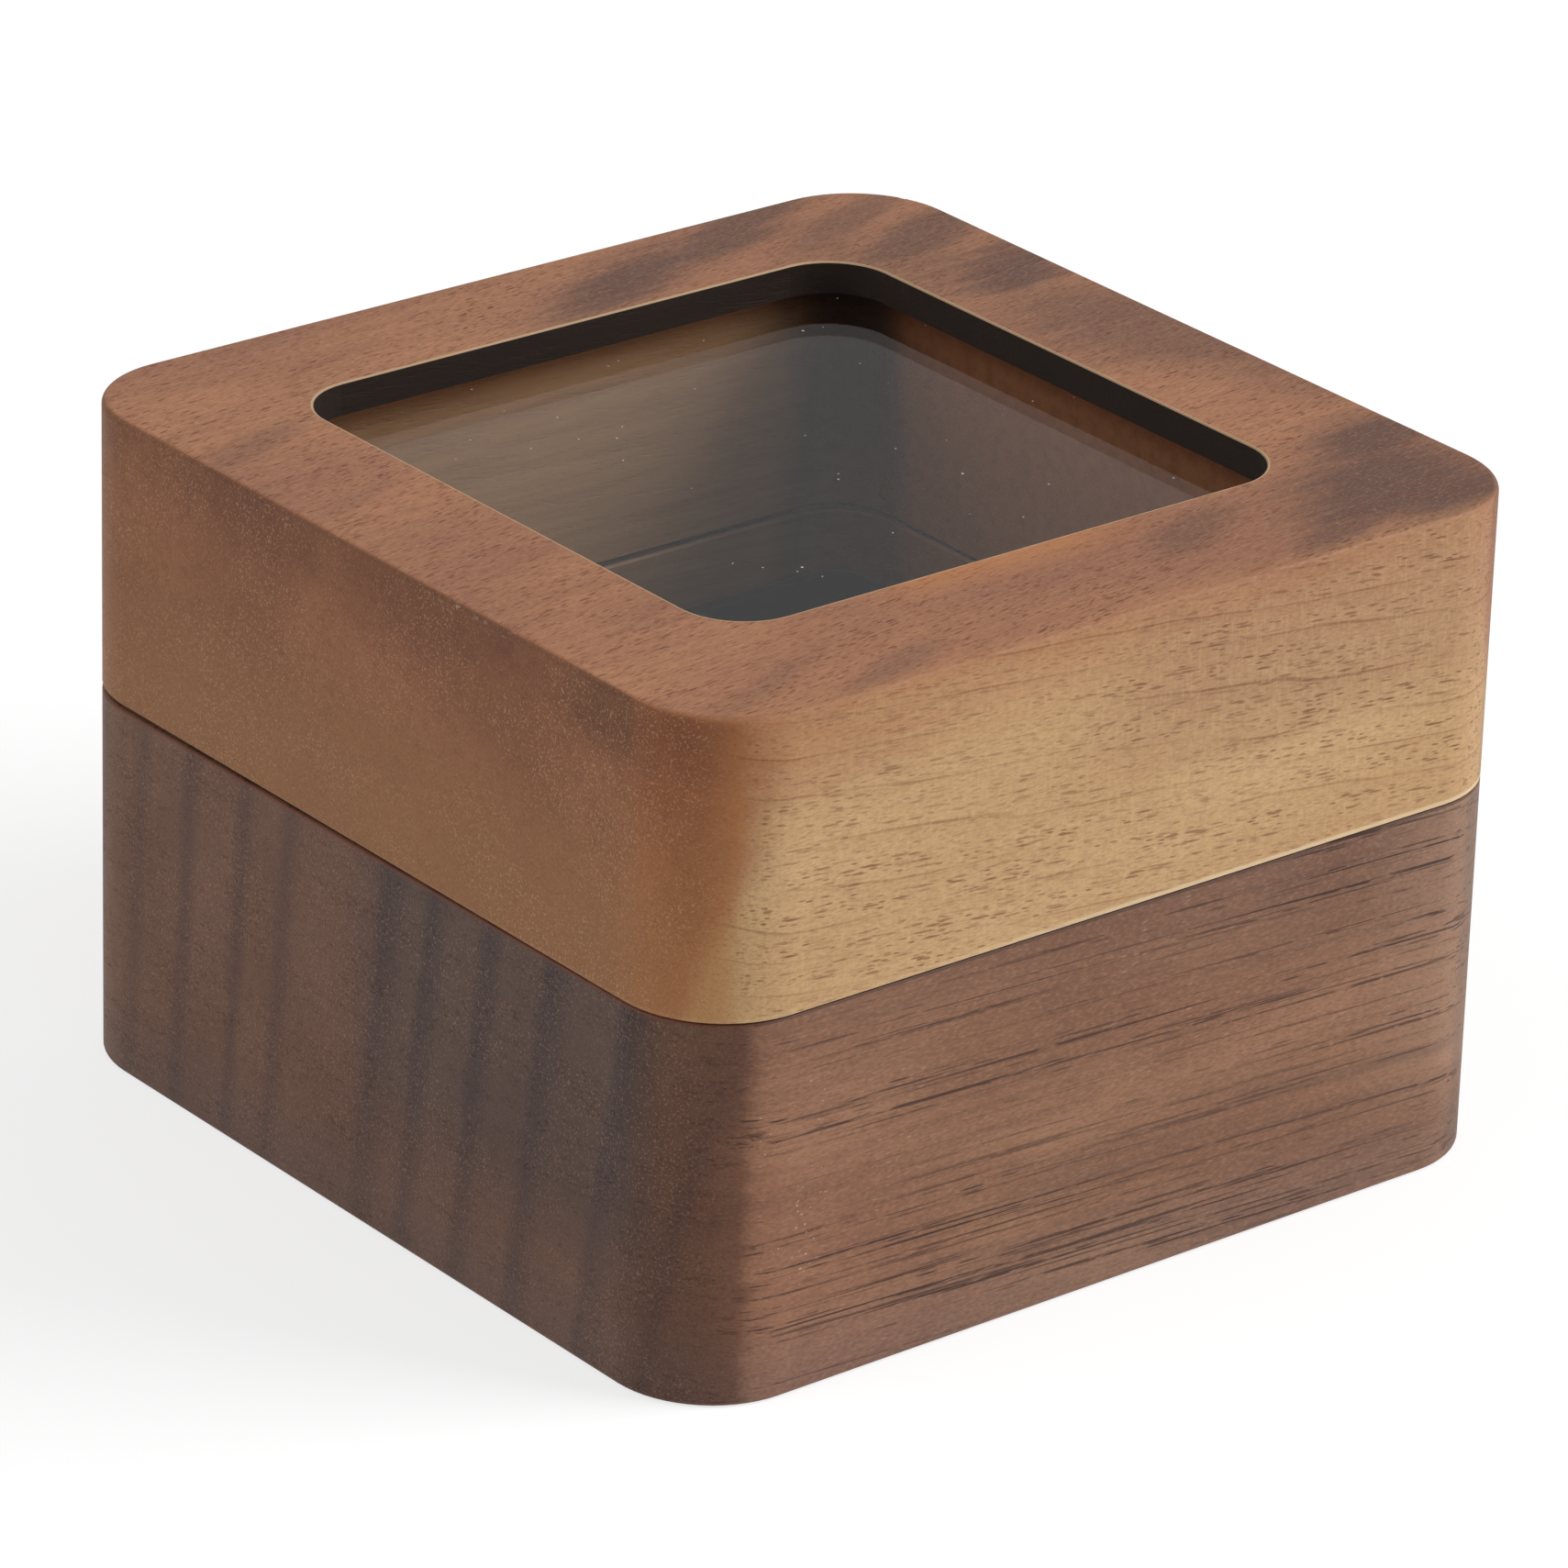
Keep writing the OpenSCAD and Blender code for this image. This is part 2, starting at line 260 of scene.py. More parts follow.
WALNUT_ROUGHNESS = 0.52
WALNUT_SHINE = 0.2
PORE_DEPTH = 0.05
CORNER_SHADE_SPREAD = 0.09  # how much wider the painted corner shade gets for each millimetre below the pane's top
RED_PORE = srgb(104, 58, 40)
BLACK_PORE = srgb(56, 42, 39)
RAW_WOOD = srgb(166, 128, 95), srgb(150, 114, 84)
# Painted shade for the hollow's corners
PAINTED_CORNER_SHADE = srgb(46, 40, 37)
HEARTWOOD = srgb(152, 101, 73), srgb(178, 123, 86)
SAPWOOD = srgb(204, 168, 122), srgb(196, 158, 113)
SMOKY_WOOD = srgb(74, 49, 41)
SCORCHED_WOOD = srgb(30, 23, 20), srgb(48, 35, 29)
DARK_HEARTWOOD = srgb(132, 93, 71), srgb(160, 118, 90)
RING_LINE = srgb(60, 53, 57)


def faces(paint, start, full):
    """How far a place is end grain, which faces left or right, and how far it faces up or down."""
    side, _, up = paint.split(paint.normal)
    return abs(side).rise(start, full), abs(up).rise(0.5, 0.9)


def ragged_end(paint, end, height, low, high):
    """The end grain with a soft edge, and with a ragged one that reaches round the corners."""
    turned = (end + 0.3 * (paint.noise((3, 3, height), detail=3) - 0.5)).rise(low, high)
    return 0.55 * end + 0.45 * turned, turned


def cut_fibres(paint, wood, strength, light, dark):
    """The sanded face's fine cut fibres, some lighter and some darker than the wood."""
    grit = paint.noise((0.42, 0.15, 0.15), detail=1, start=(5, 5, 1))
    wood = paint.mix(grit.rise(0.5, 0.75, 0, strength), wood, light)
    return paint.mix(grit.rise(0.25, 0.5, strength, 0), wood, dark)


def painted_end_glints(paint, wood, end, strength, spread, colour):
    """Painted glints: pale specks where cut fibres of the end grain would catch the light."""
    glint = paint.noise((0.3, 0.17, 0.17), detail=1, start=(4, 1, 2)).rise(0.55, 0.72) * end
    return paint.mix(strength * glint * end.rise(0.4, 1) * spread, wood, colour)


def near_corner(paint):
    """1 on the front left corner, where the two blocks' end grain meets their front."""
    return (paint.y + 0.5 * paint.x).rise(-51, -46, 1, 0)


def rounding(paint, outer, top, ease):
    """Goes past 1 on an upper edge that is eased by that much."""
    return (paint.z - (top - ease)) / ease + (outer + ease) / ease


def hollow_wood(paint, wood, streak, end, low, high):
    """Wood inside the hollow is left raw, with painted shade in its corners and on the wall just
    under the pane's ledge.
    """
    hollow = outline(paint, HOLLOW_HALF, HOLLOW_RADIUS)
    inside = hollow.rise(0.3, 0.4, 1, 0)
    inside = inside * paint.z.rise(low, low + 0.1) * paint.z.rise(high, high + 0.1, 1, 0)
    raw = paint.mix(streak.rise(0.35, 0.7), *RAW_WOOD)
    raw = paint.stain(0.6 * end, raw, srgb(222, 154, 126))
    # Painted shade on the wall just under the pane's ledge
    painted_ledge_shade = paint.z.rise(PANE_TOP - 4.5, PANE_TOP - 2)
    raw = paint.stain(0.8 * painted_ledge_shade, raw, srgb(160, 118, 86))
    # Painted shade in the hollow's corners, with a ragged edge, wider but fainter lower down
    smoke = 2 * (paint.noise((5, 5, 14), detail=3) - 0.5)
    shade = abs(paint.x).least(abs(paint.y)) + CORNER_SHADE_SPREAD * (PANE_TOP - paint.z) + smoke
    corner = shade.rise(HOLLOW_HALF - HOLLOW_RADIUS - 1.8, HOLLOW_HALF - 2.6)
    corner = corner * paint.z.rise(BASE_TOP - 9, PANE_TOP - 7, 0.55, 1)
    raw = paint.mix(0.92 * corner, raw, PAINTED_CORNER_SHADE)
    return paint.mix(0.9 * inside, wood, raw)


def walnut_surface(paint, colour, pores, fibre, end):
    """Satin oiled wood: pores are duller and deeper than the wood between them."""
    gloss = WALNUT_ROUGHNESS + 0.2 * pores + 0.12 * (fibre - 0.5) + 0.06 * end
    height = 0.6 + 0.3 * (fibre - 0.5) - 0.6 * pores
    return paint.finish(
        paint.surface(
            Base_Color=colour,
            Roughness=gloss,
            Specular_IOR_Level=WALNUT_SHINE,
            Normal=paint.bump(height, PORE_DEPTH, 0.6),
        )
    )


# ---- The lid's walnut ----

LID_RING_GAP = 2.8
LID_RING_DROP = 0.115  # for each millimetre to the right
LID_RING_CLIMB = 0.24  # for each millimetre towards the back
SAP_FRONT = 36.6  # where the sapwood ends, in front of the middle, at the height SAP_TOP
SAP_TOP = 46.5
SAP_BEND = 40  # below this height the sapwood reaches further back
SMOKE_SLANT = 22  # degrees
SMOKE_DEPTH = 7

# Smoky patches of the lid's top: middle, length, width and strength
SMOKE_PATCHES = (
    ((9, 31, 51), 12, 4, 1),
    ((20, 34, 51), 12, 3, 0.9),
    ((29, 31, 51), 9, 2, 0.6),
    ((33, 26, 51), 9, 3, 0.85),
    ((34, 16, 51), 9, 5, 1),
    ((34, 6, 51), 6, 2.4, 0.5),
    ((29, -30, 51), 11, 6.6, 1),
    ((34, -23, 51), 9, 4.8, 1),
    ((31, -36, 51), 9, 6, 1),
    ((21, -35, 51), 9, 2.4, 0.8),
    ((12, -29, 51), 6, 2.4, 0.6),
    ((-20, -35.5, 50), 8, 1.8, 0.5),
    ((37, -2, 51), 9, 34, 0.7),
    ((-33, 20, 51), 7, 1.6, 0.4),
    ((-33, 8, 51), 6, 1.2, 0.25),
    ((-29, -33, 51), 9, 1.4, 0.3),
)


def smoky_figure(paint, streak, wander):
    """Soft dark patches that cross the lid's top at a slant."""
    tatter, drift = 1.5 * (streak - 0.5), 1.6 * wander
    patches = []
    for place, length, width, strength in SMOKE_PATCHES:
        spot = paint.grain((length, width, SMOKE_DEPTH), turn=(0, 0, SMOKE_SLANT), start=place)
        away = paint.node("ShaderNodeVectorMath", {"operation": "LENGTH"}, [spot], "Value")
        patches.append((away + tatter + drift).rise(0.3, 1.3, strength, 0))
    return most_of(*patches)


def lid_pores(paint, streak, fray, early, flat):
    """Short dashes, crowded in bands on the front and finer on the top, and where they crowd."""
    dashes = most_of(
        paint.cells((2.4, 0.34, 0.32), 0.4, 0.62, fray, turn=(0, 5, 0)),
        paint.cells((4.2, 0.42, 0.34), 0.36, 0.42, fray, turn=(0, 6, 2), start=(1, 2, 3)),
        paint.cells((1.2, 0.3, 0.25), 0.4, 0.64, fray, turn=(0, 6, 0), start=(2, 7, 5)),
    )
    short = most_of(
        paint.cells((1.5, 0.26, 0.26), 0.4, 0.9, fray, turn=(0, 0, 7), start=(3, 1, 2)),
        paint.cells((0.9, 0.2, 0.2), 0.38, 0.8, fray, turn=(0, 0, 9), start=(6, 4, 1)),
    )
    rows = (early + 0.9 * streak.rise(0.45, 0.6)).least(1)
    crowd = paint.noise((18, 9, 7), detail=2, start=(6, 2, 8)).rise(0.36, 0.6)
    pores = dashes * (0.2 + 0.8 * rows) * (0.55 + 0.35 * crowd) * (1 - flat)
    short = short * (0.65 + 0.35 * rows) * (0.75 + 0.25 * crowd) * (0.25 + 0.75 * flat)
    return pores.most(short), crowd


def lid_end_grain(paint, wood, end, turned, crowd):
    """End grain drinks more oil, carries painted shade towards its top, and turns orange where
    sapwood meets it.
    """
    y, z = paint.y, paint.z
    near = near_corner(paint) * turned
    wood = paint.stain(0.8 * end * (1 - 0.42 * near), wood, srgb(190, 175, 168))
    # Painted shade: the end grain darker towards the lid's top, and along the top of its front part
    front_part = z.rise(45, 49) * y.rise(-31, -29) * y.rise(-26, -18, 0.85, 0)
    painted_top_shade = z.rise(45, 51, 0, 0.4).most(front_part)
    wood = paint.stain(painted_top_shade * end, wood, srgb(190, 190, 192))
    wood = paint.stain(0.4 * near, wood, srgb(246, 208, 158))
    wood = paint.mix(0.55 * near * (1 - end), wood, srgb(186, 128, 78))
    return painted_end_glints(paint, wood, end, 0.25, 0.5 + crowd, srgb(204, 162, 126))


def lid_edges(paint, wood, streak, fray, end):
    """Edges are pale where they are sanded back, a pale line along the lid's foot is a painted
    highlight, and they are scorched where the window is cut through.
    """
    x, y, z = paint.x, paint.y, paint.z
    outer = outline(paint, HALF, CORNER_RADIUS)
    rounded = rounding(paint, outer, LID_TOP, EDGE_EASE)
    worn = rounded.rise(1.05, 1.36) * outer.rise(-0.7, -0.5)
    chips = paint.cells((0.5, 0.9, 0.35), 0.42, 0.4, 2 * fray)
    chips = chips * x.rise(-36.6, -36.8) * abs(y + 12.5).rise(3, 5, 1, 0)
    # Painted highlight: a pale line along the lid's foot, stronger to the right, standing for a lit
    # edge-break
    foot = outer.rise(-0.2, -0.1) * z.rise(LID_FOOT + 0.2, LID_FOOT + 0.42, 1, 0)
    foot = foot * x.rise(-28, 8, 0.12, 0.75) * (1 - 0.6 * end)
    wood = paint.mix(0.3 * worn * (1 - end), wood, srgb(150, 104, 76))
    wood = paint.mix(0.6 * chips * rounded.rise(0.7, 1), wood, srgb(206, 184, 158))
    wood = paint.mix(foot, wood, srgb(228, 202, 164))
    wood = hollow_wood(paint, wood, streak, end, LID_FOOT - 1, PANE_TOP)

    window = outline(paint, WINDOW_HALF, WINDOW_RADIUS, WINDOW_SHIFT)
    scorch = window.rise(0.02, 0.08, 1, 0) * z.rise(PANE_TOP - 0.6, PANE_TOP - 0.3)
    wood = paint.mix(scorch, wood, paint.mix(streak, *SCORCHED_WOOD))
    bevel = window.rise(WINDOW_BEVEL + 0.06, WINDOW_BEVEL + 0.12, 1, 0)
    bevel = bevel * z.rise(LID_TOP - WINDOW_BEVEL - 0.01, LID_TOP - WINDOW_BEVEL + 0.01)
    return paint.mix(0.8 * bevel, wood, srgb(196, 164, 128))


def lid_walnut():
    """The lid's block: flat-sawn heartwood, with sapwood on its front nearly up to the top."""
    paint = Paint("lid_walnut")
    x, y, z = paint.x, paint.y, paint.z
    end, flat = faces(paint, 0.36, 0.9)
    end, turned = ragged_end(paint, end, 1.2, 0, z.rise(33, 46, 0.6, 0.24))

    # Growth rings slope gently down to the right across the front, and come and go
    wander = paint.noise((64, 15, 9), detail=4) - 0.5
    ring = z + LID_RING_DROP * x - LID_RING_CLIMB * y + 5 * wander
    within = (ring / LID_RING_GAP).rest()
    shown = paint.noise((17, 5, 2.2), detail=2, start=(9, 9, 9)).rise(0.38, 0.66, 0.1, 1)
    line = within.rise(0.915, 0.955) * within.rise(0.965, 1, 1, 0)
    late = (line + 0.22 * within.rise(0.5, 0.95)).least(1) * shown
    late = late * (1 - 0.6 * flat - 0.8 * end)
    early = within.rise(0, 0.25) * within.rise(0.3, 0.8, 1, 0)

    cloud = paint.noise((34, 13, 10), detail=3, start=(7, 3, 0))
    streak = paint.noise((16, 1.1, 1.1), detail=4, roughness=0.65)
    fibre = paint.noise((1.5, 0.11, 0.11), detail=2, roughness=0.65, turn=(0, 0, 7))
    fray = 0.5 * (fibre - 0.5)

    heart = paint.mix(cloud.rise(0.3, 0.68), *HEARTWOOD)
    heart = paint.mix(streak.rise(0.4, 0.75, 0, 0.5), heart, srgb(130, 84, 62))
    # Painted light: the heartwood paler and more golden towards the lid's foot, standing for light
    # thrown up by the white floor
    low = z.rise(LID_FOOT, LID_TOP - 1, 1, 0)
    heart = paint.mix(0.8 * low, heart, srgb(182, 138, 96))
    smoke = smoky_figure(paint, streak, wander)
    heart = paint.mix(smoke * (0.25 + 0.75 * flat), heart, SMOKY_WOOD)

    # Sapwood, with an orange edge where the heart begins and a browner blush along its top
    reach = 0.13 * (SAP_TOP - z) + 0.1 * (SAP_BEND - z).most(0) + 0.006 * x
    depth = (reach - SAP_FRONT - y) / 1.4 + 1.3 * (cloud - 0.5) + 0.6 * (streak - 0.5)
    sap_share = depth.rise(-0.25, 0.95)
    wood = paint.mix(sap_share, heart, paint.mix(cloud.rise(0.3, 0.7), *SAPWOOD))
    blush = (z + 0.05 * x + 8 * wander).rise(38.5, 43, 0, 0.48) * x.rise(-9, 5) * (1 - flat)
    wood = paint.mix(blush, wood, srgb(160, 116, 90))
    wood = paint.mix(depth.rise(-1.3, 0.1) * (1 - sap_share) * 0.4, wood, srgb(186, 134, 92))

    # Ring lines, fibres and short rays
    wood = paint.stain(0.5 * late, wood, srgb(150, 98, 70))
    wood = paint.mix(fibre.rise(0.35, 0.75) * (0.28 + 0.2 * flat), wood, srgb(124, 78, 54))
    wood = paint.mix(fibre.rise(0.25, 0.5, 0.3, 0) * flat, wood, srgb(190, 140, 104))
    rays = paint.noise((0.26, 1.6, 1.3), detail=2, start=(2, 5, 1))
    wood = paint.mix(rays.rise(0.45, 0.75, 0, 0.2) * sap_share, wood, srgb(218, 182, 134))
    wood = cut_fibres(paint, wood, 0.2, srgb(206, 164, 118), srgb(118, 78, 54))

    pores, crowd = lid_pores(paint, streak, fray, early, flat)
    wood = paint.mix((0.85 + 0.15 * flat) * pores * (1 - 0.8 * end), wood, RED_PORE)

    # A warm strip along the window's front edge
    warm = outline(paint, WINDOW_HALF, WINDOW_RADIUS, WINDOW_SHIFT).rise(0, 4.5, 0.45, 0)
    warm = warm * y.rise(-24, -21, 1, 0) * x.rise(-16, -8) * x.rise(2, 14, 1, 0)
    wood = paint.mix(warm * flat, wood, srgb(196, 128, 72))

    wood = lid_end_grain(paint, wood, end, turned, crowd)
    wood = lid_edges(paint, wood, streak, fray, end)
    return walnut_surface(paint, wood, pores, fibre, end)


# ---- The base's walnut ----

RING_TILT = 0.128  # how far back a ring goes as it rises
RING_SPREAD = 0.0018  # how much less it does so, for each millimetre towards the back
PORE_SLOPE = (0, 2.3, 0)

# Dark lines of the growth rings: place from front to back at the rim, width and strength
BASE_RINGS = (
    (-37.2, 1.4, 0.6),
    (-30, 3.6, 0.9),
    (-21.6, 3.4, 1),
    (-14.8, 2.6, 0.95),
    (-8.2, 2.8, 0.9),
    (-2.8, 3.4, 0.95),
    (8.8, 2.2, 0.8),
    (14, 1.6, 0.95),
    (20.75, 1.8, 0.9),
    (26.75, 1.5, 0.6),
    (32.5, 1.5, 0.5),
)


def base_rings(paint):
    """Each ring is darkest at its late edge and fades towards the front."""
    wander = paint.noise((80, 20, 26), detail=2) - 0.5
    flutter = paint.noise((30, 2.2, 3.5), detail=3) - 0.5
    tilt = (paint.z - BASE_TOP) * (RING_TILT - RING_SPREAD * paint.y)
    ring = paint.y + tilt + 1.6 * wander + 0.7 * flutter
    lines = []
    for place, width, strength in BASE_RINGS:
        past = ring - place
        lines.append(past.rise(-width, 0) * past.rise(-0.1, 1.5, strength, 0))
    return most_of(*lines)


def base_pores(paint, fray):
    """Long open pores in broken rows, and where they come in groups."""
    rows = paint.noise((90, 5, 0.75), detail=1, turn=PORE_SLOPE, start=(3, 1, 6)).rise(0.44, 0.57)
    groups = paint.noise((30, 8, 6), detail=1, start=(15, 5, 2)).rise(0.3, 0.6)
    breaks = paint.noise((3, 0.5, 0.4), detail=2, start=(1, 1, 1)).rise(0.34, 0.48)
    lines = paint.noise((24, 0.6, 0.19), detail=1, turn=PORE_SLOPE).rise(0.55, 0.63) * breaks
    cracks = most_of(
        paint.cells((11, 0.5, 0.34), 0.42, 0.5, fray, turn=PORE_SLOPE, start=(2, 2, 2)),
        paint.cells((3.5, 0.4, 0.25), 0.4, 0.35, fray, turn=PORE_SLOPE, start=(7, 3, 1)),
    )
    return lines.most(cracks) * (0.08 + 0.92 * rows) * (0.6 + 0.4 * groups), groups


def base_flecks(paint, wood, fray, flat):
    """Pale flecks all over the sides, and near the front left corner a patch of brighter ones,
    painted glints where light catches the grain.
    """
    x, z = paint.x, paint.z
    flecks = paint.cells((0.9, 0.3, 0.22), 0.34, 0.5, fray, start=(8, 3, 5))
    flecks = flecks * paint.noise((7, 5, 8)).rise(0.5, 0.65)
    wood = paint.mix(0.4 * flecks * (1 - flat), wood, srgb(190, 152, 130))
    # Painted glints near the front left corner
    painted_glints = paint.cells((0.4, 0.3, 0.26), 0.3, 0.5, fray, start=(3, 9, 2))
    painted_glints = painted_glints * z.rise(6, 10) * z.rise(22, 26, 1, 0)
    painted_glints = painted_glints * x.rise(-32.5, -31) * x.rise(-28, -24, 1, 0)
    painted_glints = painted_glints * paint.noise((3, 3, 4)).rise(0.44, 0.6)
    return paint.mix(0.6 * painted_glints * (1 - flat), wood, srgb(224, 196, 176))


def base_end_grain(paint, wood, end, turned, groups):
    """End grain is greyer than the front, and most of all in its front half."""
    y, z = paint.y, paint.z
    wood = paint.stain(0.75 * end, wood, srgb(159, 170, 182))
    ashen = z.rise(3, 15) * y.rise(-4, 4, 1, 0) * y.rise(-34, -30)
    wood = paint.stain(0.95 * ashen * end, wood, srgb(204, 220, 240))
    wood = paint.stain(0.6 * near_corner(paint) * turned, wood, srgb(206, 194, 188))
    return painted_end_glints(paint, wood, end, 0.24, 0.5 + groups, srgb(166, 130, 108))


def base_walnut():
    """The base's block: darker heartwood whose growth rings stand almost upright."""
    paint = Paint("base_walnut")
    x, z = paint.x, paint.z
    end, flat = faces(paint, 0.2, 0.98)
    end, turned = ragged_end(paint, end, 1, -0.02, 0.24)
    late = base_rings(paint) * (0.22 + 0.78 * end.most(flat))
    cloud = paint.noise((30, 9, 12), detail=3, start=(2, 8, 5))
    streak = paint.noise((20, 1.2, 1.0), detail=4, roughness=0.65, turn=(0, 2.5, 0))
    fibre = paint.noise((1.8, 0.1, 0.1), detail=2, roughness=0.6)
    fray = 0.5 * (fibre - 0.5)

    wood = paint.mix(cloud.rise(0.3, 0.7), *DARK_HEARTWOOD)
    wood = paint.mix(streak.rise(0.42, 0.75, 0, 0.5), wood, srgb(106, 77, 64))
    wood = paint.mix(0.85 * late, wood, RING_LINE)
    wood = paint.mix(fibre.rise(0.35, 0.75, 0, 0.36), wood, srgb(104, 72, 56))
    warm = (x + 0.5 * z + 12 * (cloud - 0.5)).rise(-32, -2, 0.4, 0)
    wood = paint.mix(warm, wood, srgb(158, 108, 86))

    # Brown haze along the upper right, a pale right end and a greyer foot
    haze = (z + 0.2 * x + 9 * (cloud - 0.5)).rise(19, 33, 0, 0.5)
    wood = paint.mix(haze, wood, srgb(107, 78, 67))
    pale = x.rise(20, 33, 0, 0.45) * z.rise(3, 10) * (1 - flat)
    wood = paint.mix(pale, wood, srgb(178, 144, 120))
    wood = paint.mix(z.rise(1, 8, 0.35, 0), wood, srgb(128, 108, 100))
    wood = cut_fibres(paint, wood, 0.28, srgb(176, 136, 112), srgb(88, 58, 46))

    # Soft dark bands, with the pores over them
    pores, groups = base_pores(paint, fray)
    band = paint.noise((70, 6, 2.4), detail=2, turn=PORE_SLOPE, start=(4, 1, 9))
    band = band.rise(0.5, 0.68, 0, 0.5) * z.rise(9, 13, 1, 0) * x.rise(-16, 4) * (1 - end)
    wood = paint.mix(band, wood, srgb(84, 68, 62))
    wood = paint.mix(0.88 * pores * (1 - 0.8 * end), wood, BLACK_PORE)
    wood = base_flecks(paint, wood, fray, flat)
    wood = base_end_grain(paint, wood, end, turned, groups)

    # The rim's eased edge, painted dark as the shade of the groove where the two blocks meet, and
    # redder on the end grain
    outer = outline(paint, HALF, CORNER_RADIUS)
    seam_shade = rounding(paint, outer, BASE_TOP, SEAM_EASE).rise(1.0, 1.3) * outer.rise(-0.5, -0.3)
    wood = paint.mix(0.7 * seam_shade, wood, paint.mix(end, srgb(64, 42, 34), srgb(112, 64, 46)))
    wood = hollow_wood(paint, wood, streak, end, 1, BASE_TOP)
    return walnut_surface(paint, wood, pores, fibre, end)


# ---- Pane ----

PANE_IOR = 1.49
COATED = 0.21  # share of plain acrylic's reflection that is left by its coating
PANE_TINT = (0.97, 0.98, 0.975, 1)
PANE_SHADOW_TINT = (0.95, 0.96, 0.955, 1)
DUST = srgb(236, 236, 232)


def clear_pane():
    """Clear sheet with a coating that mirrors little, and some dust on top."""
    paint = Paint("clear_pane")
    mirror = COATED * paint.node("ShaderNodeFresnel", inputs={"IOR": PANE_IOR})
    clear = paint.node(
        "ShaderNodeBsdfRefraction", inputs={"Color": PANE_TINT, "Roughness": 0, "IOR": PANE_IOR}
    )
    gloss = paint.node(
        "ShaderNodeBsdfAnisotropic", inputs={"Color": (1, 1, 1, 1), "Roughness": 0}
    )
    sheet = paint.node("ShaderNodeMixShader", inputs=[mirror, clear, gloss])
    lit = paint.node("ShaderNodeBsdfTransparent", inputs={"Color": PANE_SHADOW_TINT})
    shadow, soft = paint.node("ShaderNodeLightPath", output=("Is Shadow Ray", "Is Diffuse Ray"))
    sheet = paint.node("ShaderNodeMixShader", inputs=[shadow.most(soft), sheet, lit])
    specks = paint.cells((4, 4, 4), 0.034, 0.1, space="2D", start=(1, 2, 0))
    fine = paint.cells((3, 2.4, 2.4), 0.036, 0.16, space="2D", turn=(0, 0, 35))
    specks = specks.most(0.8 * fine)
    top = paint.z.rise(PANE_TOP - 0.02, PANE_TOP - 0.01)
    dust = paint.surface(Base_Color=DUST, Roughness=0.9)
    dusty = paint.node("ShaderNodeMixShader", inputs=[0.75 * specks * top, sheet, dust])
    return paint.finish(dusty)


# ---- Insert, hinges and magnets ----


def black_velvet():
    """Short black pile: the nap leans one way and another, which shows as soft patches."""
    paint = Paint("black_velvet")
    nap = paint.noise((7, 5, 5), detail=3, roughness=0.6)
    pile = paint.noise((0.12, 0.12, 0.12), detail=1)
    colour = paint.mix(nap.rise(0.35, 0.65), srgb(14, 14, 16), srgb(24, 24, 27))
    colour = paint.mix(pile.rise(0.4, 0.7, 0, 0.5), colour, srgb(30, 30, 33))
    return paint.finish(
        paint.surface(
            Base_Color=colour,
            Roughness=0.95,
            Specular_IOR_Level=0.1,
            Sheen_Weight=0.2,
            Sheen_Roughness=0.35,
            Sheen_Tint=srgb(150, 152, 160),
            Normal=paint.bump(nap, 0.05, 0.4),
        )
    )


def black_board():
    """Card with a coarse, matt black face."""
    paint = Paint("black_board")
    pulp = paint.noise((0.6, 0.6, 0.6), detail=4, roughness=0.7)
    colour = paint.mix(pulp.rise(0.3, 0.7), srgb(26, 26, 27), srgb(42, 41, 40))
    return paint.finish(
        paint.surface(
            Base_Color=colour, Roughness=0.85 + 0.1 * pulp, Normal=paint.bump(pulp, 0.05, 0.5)
        )
    )


def metal(name, colour, tarnish, roughness, brushed):
    """Worked metal: tarnish is its dull colour, and brushed its fine lines' size in millimetres."""
    paint = Paint(name)
    lines = paint.noise(brushed, detail=3, roughness=0.7)
    patch = paint.noise((1.8, 1.5, 1.2), detail=3, roughness=0.6)
    colour = paint.mix(patch.rise(0.45, 0.8, 0, 0.6), colour, tarnish)
    return paint.finish(
        paint.surface(
            Base_Color=colour,
            Metallic=1,
            Roughness=roughness + 0.14 * lines + 0.12 * patch.rise(0.4, 0.8),
            Normal=paint.bump(lines, 0.01, 0.35),
        )
    )


# Each metal's nodes, colour, tarnish, roughness and brushed lines
SIDES = ("left", "right")
METALS = {
    "leaf_brass": (
        [f"hinge_{level}_leaf_{side}" for level in ("lower", "upper") for side in SIDES],
        srgb(214, 178, 104), srgb(150, 112, 62), 0.24, (3, 0.06, 0.06),
    ),
    "screw_brass": (
        ["hinge_screws_base", "hinge_screws_lid"],
        srgb(222, 186, 112), srgb(146, 108, 60), 0.2, (0.1, 0.1, 0.1),
    ),
    "pin_steel": (
        [f"hinge_pin_{side}" for side in SIDES],
        srgb(196, 194, 190), srgb(128, 124, 118), 0.28, (2, 0.05, 0.05),
    ),
    "magnet_nickel": (
        [f"{block}_magnet_{side}" for block in ("base", "lid") for side in SIDES],
        srgb(206, 203, 196), srgb(160, 156, 148), 0.14, (0.2, 0.2, 0.2),
    ),
}


def dress(material, *nodes):
    for node in nodes:
        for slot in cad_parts[node].material_slots:
            slot.material = material


dress(lid_walnut(), "lid_frame")
dress(base_walnut(), "base_box")
dress(clear_pane(), "window_pane")
dress(black_board(), "insert_board")
for name, (nodes, *finish) in METALS.items():
    dress(metal(name, *finish), *nodes)


# ---- Velvet bars ----

BAR_SLACK = 0.35  # room left for the bar to swell into, on each side
BAR_ROLL = 3.4
BAR_FOOT_ROLL = 0.8
INNER_CORNER = 1
VOXEL = 0.8
SWELL_PRESSURE = 3
SWELL_LIMIT = 0.5
CLOTH_SCALE = 20  # cloth this small is worked out larger, then brought back
CLOTH_FRAMES = 14
PIN_HEIGHT = 1.2


def select_only(piece):
    bpy.ops.object.select_all(action="DESELECT")
    piece.select_set(True)
    bpy.context.view_layer.objects.active = piece


